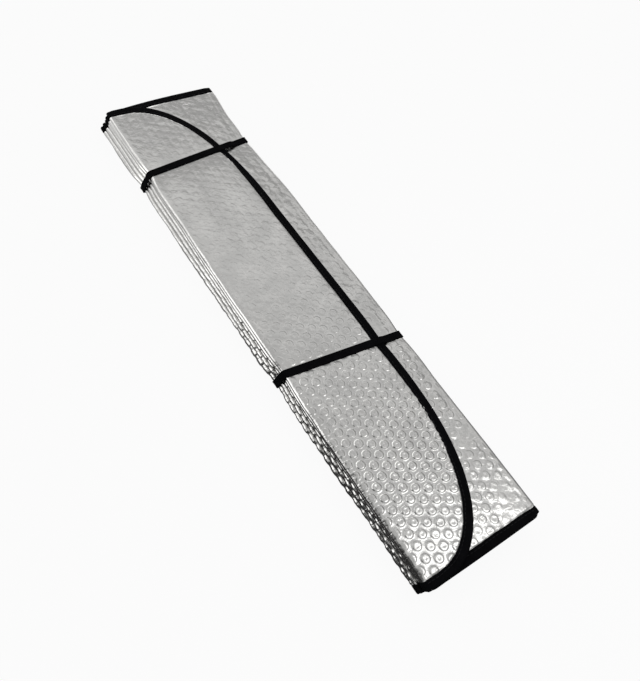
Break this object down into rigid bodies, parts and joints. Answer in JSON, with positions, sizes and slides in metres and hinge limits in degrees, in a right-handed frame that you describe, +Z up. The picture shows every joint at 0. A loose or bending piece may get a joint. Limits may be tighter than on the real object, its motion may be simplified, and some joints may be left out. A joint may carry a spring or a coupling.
{
  "type": "windscreen sunshade",
  "caption": "Windscreen sunshade of metallised bubble foil with dark edge binding, fan-folded into a flat bundle and held shut by elastic straps.",
  "frame": {"origin": "middle of the folded bundle's footprint, on the plane it lies on", "axes": "+Y along the folds to the roof end, +Z up through the stack, +X towards the outer panels' free edges"},
  "size_m": [0.1432, 0.6156, 0.0306],
  "materials": {
    "foil": "satin",
    "binding_tape": "matte",
    "elastic": "matte"
  },
  "bodies": {
    "root": {"shade_sheet": "foil", "edge_binding": "binding_tape", "roof_side_elastic_strap": "elastic", "dash_side_elastic_strap": "elastic"}
  },
  "joints": []
}
